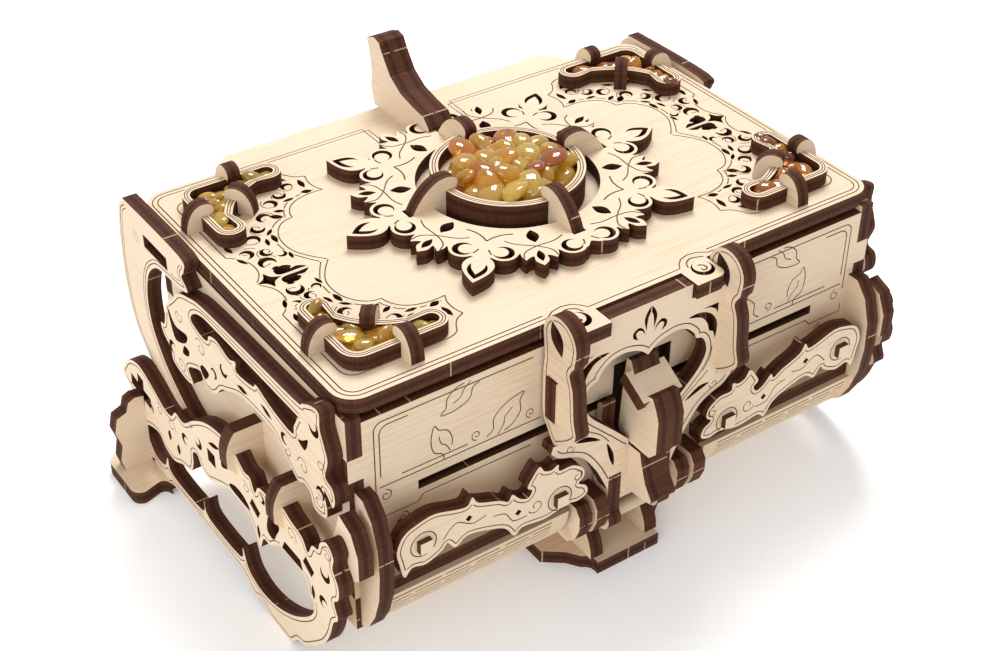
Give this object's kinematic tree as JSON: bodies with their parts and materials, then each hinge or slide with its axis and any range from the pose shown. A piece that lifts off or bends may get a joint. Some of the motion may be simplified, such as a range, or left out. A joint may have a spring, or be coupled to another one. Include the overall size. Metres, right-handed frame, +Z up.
{
  "type": "wooden jigsaw jewellery casket",
  "caption": "Laser-cut plywood casket built as a 3D jigsaw, with a hinged lid, pierced ornaments, cups of amber chips and a swinging heart clasp with a lever.",
  "frame": {"origin": "on the ground, under the middle of the casket's bounding box", "axes": "+X to the casket's right seen from the front, +Y from the clasp to the lid hinge, +Z up"},
  "size_m": [0.1968, 0.1306, 0.106],
  "materials": {
    "plywood": "raw sanded birch plywood with laser-burnt dark brown edges",
    "reeded_sheet": "bent birch plywood sheet with engraved reeds",
    "dowel": "smooth raw dowel",
    "amber": "polished translucent amber chips in resin"
  },
  "bodies": {
    "box": {"floor_plate": "plywood", "left_wall": "plywood", "right_wall": "plywood", "back_wall": "plywood", "upper_front_panel": "plywood", "lower_front_panel": "plywood", "front_ledge": "plywood", "left_reeded_cover": "reeded_sheet", "right_reeded_cover": "reeded_sheet", "left_end_former": "plywood", "right_end_former": "plywood", "left_inner_former": "plywood", "right_inner_former": "plywood", "left_corner_brace": "plywood", "right_corner_brace": "plywood", "left_front_ornament": "plywood", "right_front_ornament": "plywood", "ornament_pegs": "plywood", "left_side_scroll": "plywood", "right_side_scroll": "plywood", "left_rear_bracket": "plywood", "right_rear_bracket": "plywood", "left_side_frame": "plywood", "right_side_frame": "plywood", "side_frame_brackets": "plywood", "front_foot_plate": "plywood", "front_foot_brackets": "plywood", "rear_foot_plates": "plywood", "rear_foot_brackets": "plywood", "hinge_pins": "dowel", "clasp_axle": "dowel"},
    "lid": {"lid_plate": "plywood", "lid_locating_rim": "plywood", "lid_hinge_ears": "plywood", "rosette": "plywood", "round_cup_base": "plywood", "round_cup_ring": "plywood", "round_cup_prongs": "plywood", "round_cup_amber": "amber", "front_left_cup": "plywood", "front_right_cup": "plywood", "back_left_cup": "plywood", "back_right_cup": "plywood", "corner_cup_prongs": "plywood", "corner_cup_amber": "amber", "horn_left_layer": "plywood", "horn_right_layer": "plywood"},
    "clasp": {"clasp_plate": "plywood", "left_hook_bar": "plywood", "right_hook_bar": "plywood", "clasp_knuckles": "plywood", "lever_axle": "dowel", "clasp_wedge": "plywood"},
    "lever": {"lever_left_layer": "plywood", "lever_right_layer": "plywood", "lever_cap": "plywood"}
  },
  "joints": [
    {"name": "lid_hinge", "type": "hinge", "parent": "box", "child": "lid", "pos_m": [0, 0.0487, 0.078], "axis": [-1, 0, 0], "range_deg": [0, 100]},
    {"name": "clasp_swing", "type": "hinge", "parent": "box", "child": "clasp", "pos_m": [0, -0.0528, 0.02], "axis": [1, 0, 0], "range_deg": [0, 40]},
    {"name": "lever_tilt", "type": "hinge", "parent": "clasp", "child": "lever", "pos_m": [0, -0.0525, 0.046], "axis": [-1, 0, 0], "range_deg": [0, 8]}
  ]
}
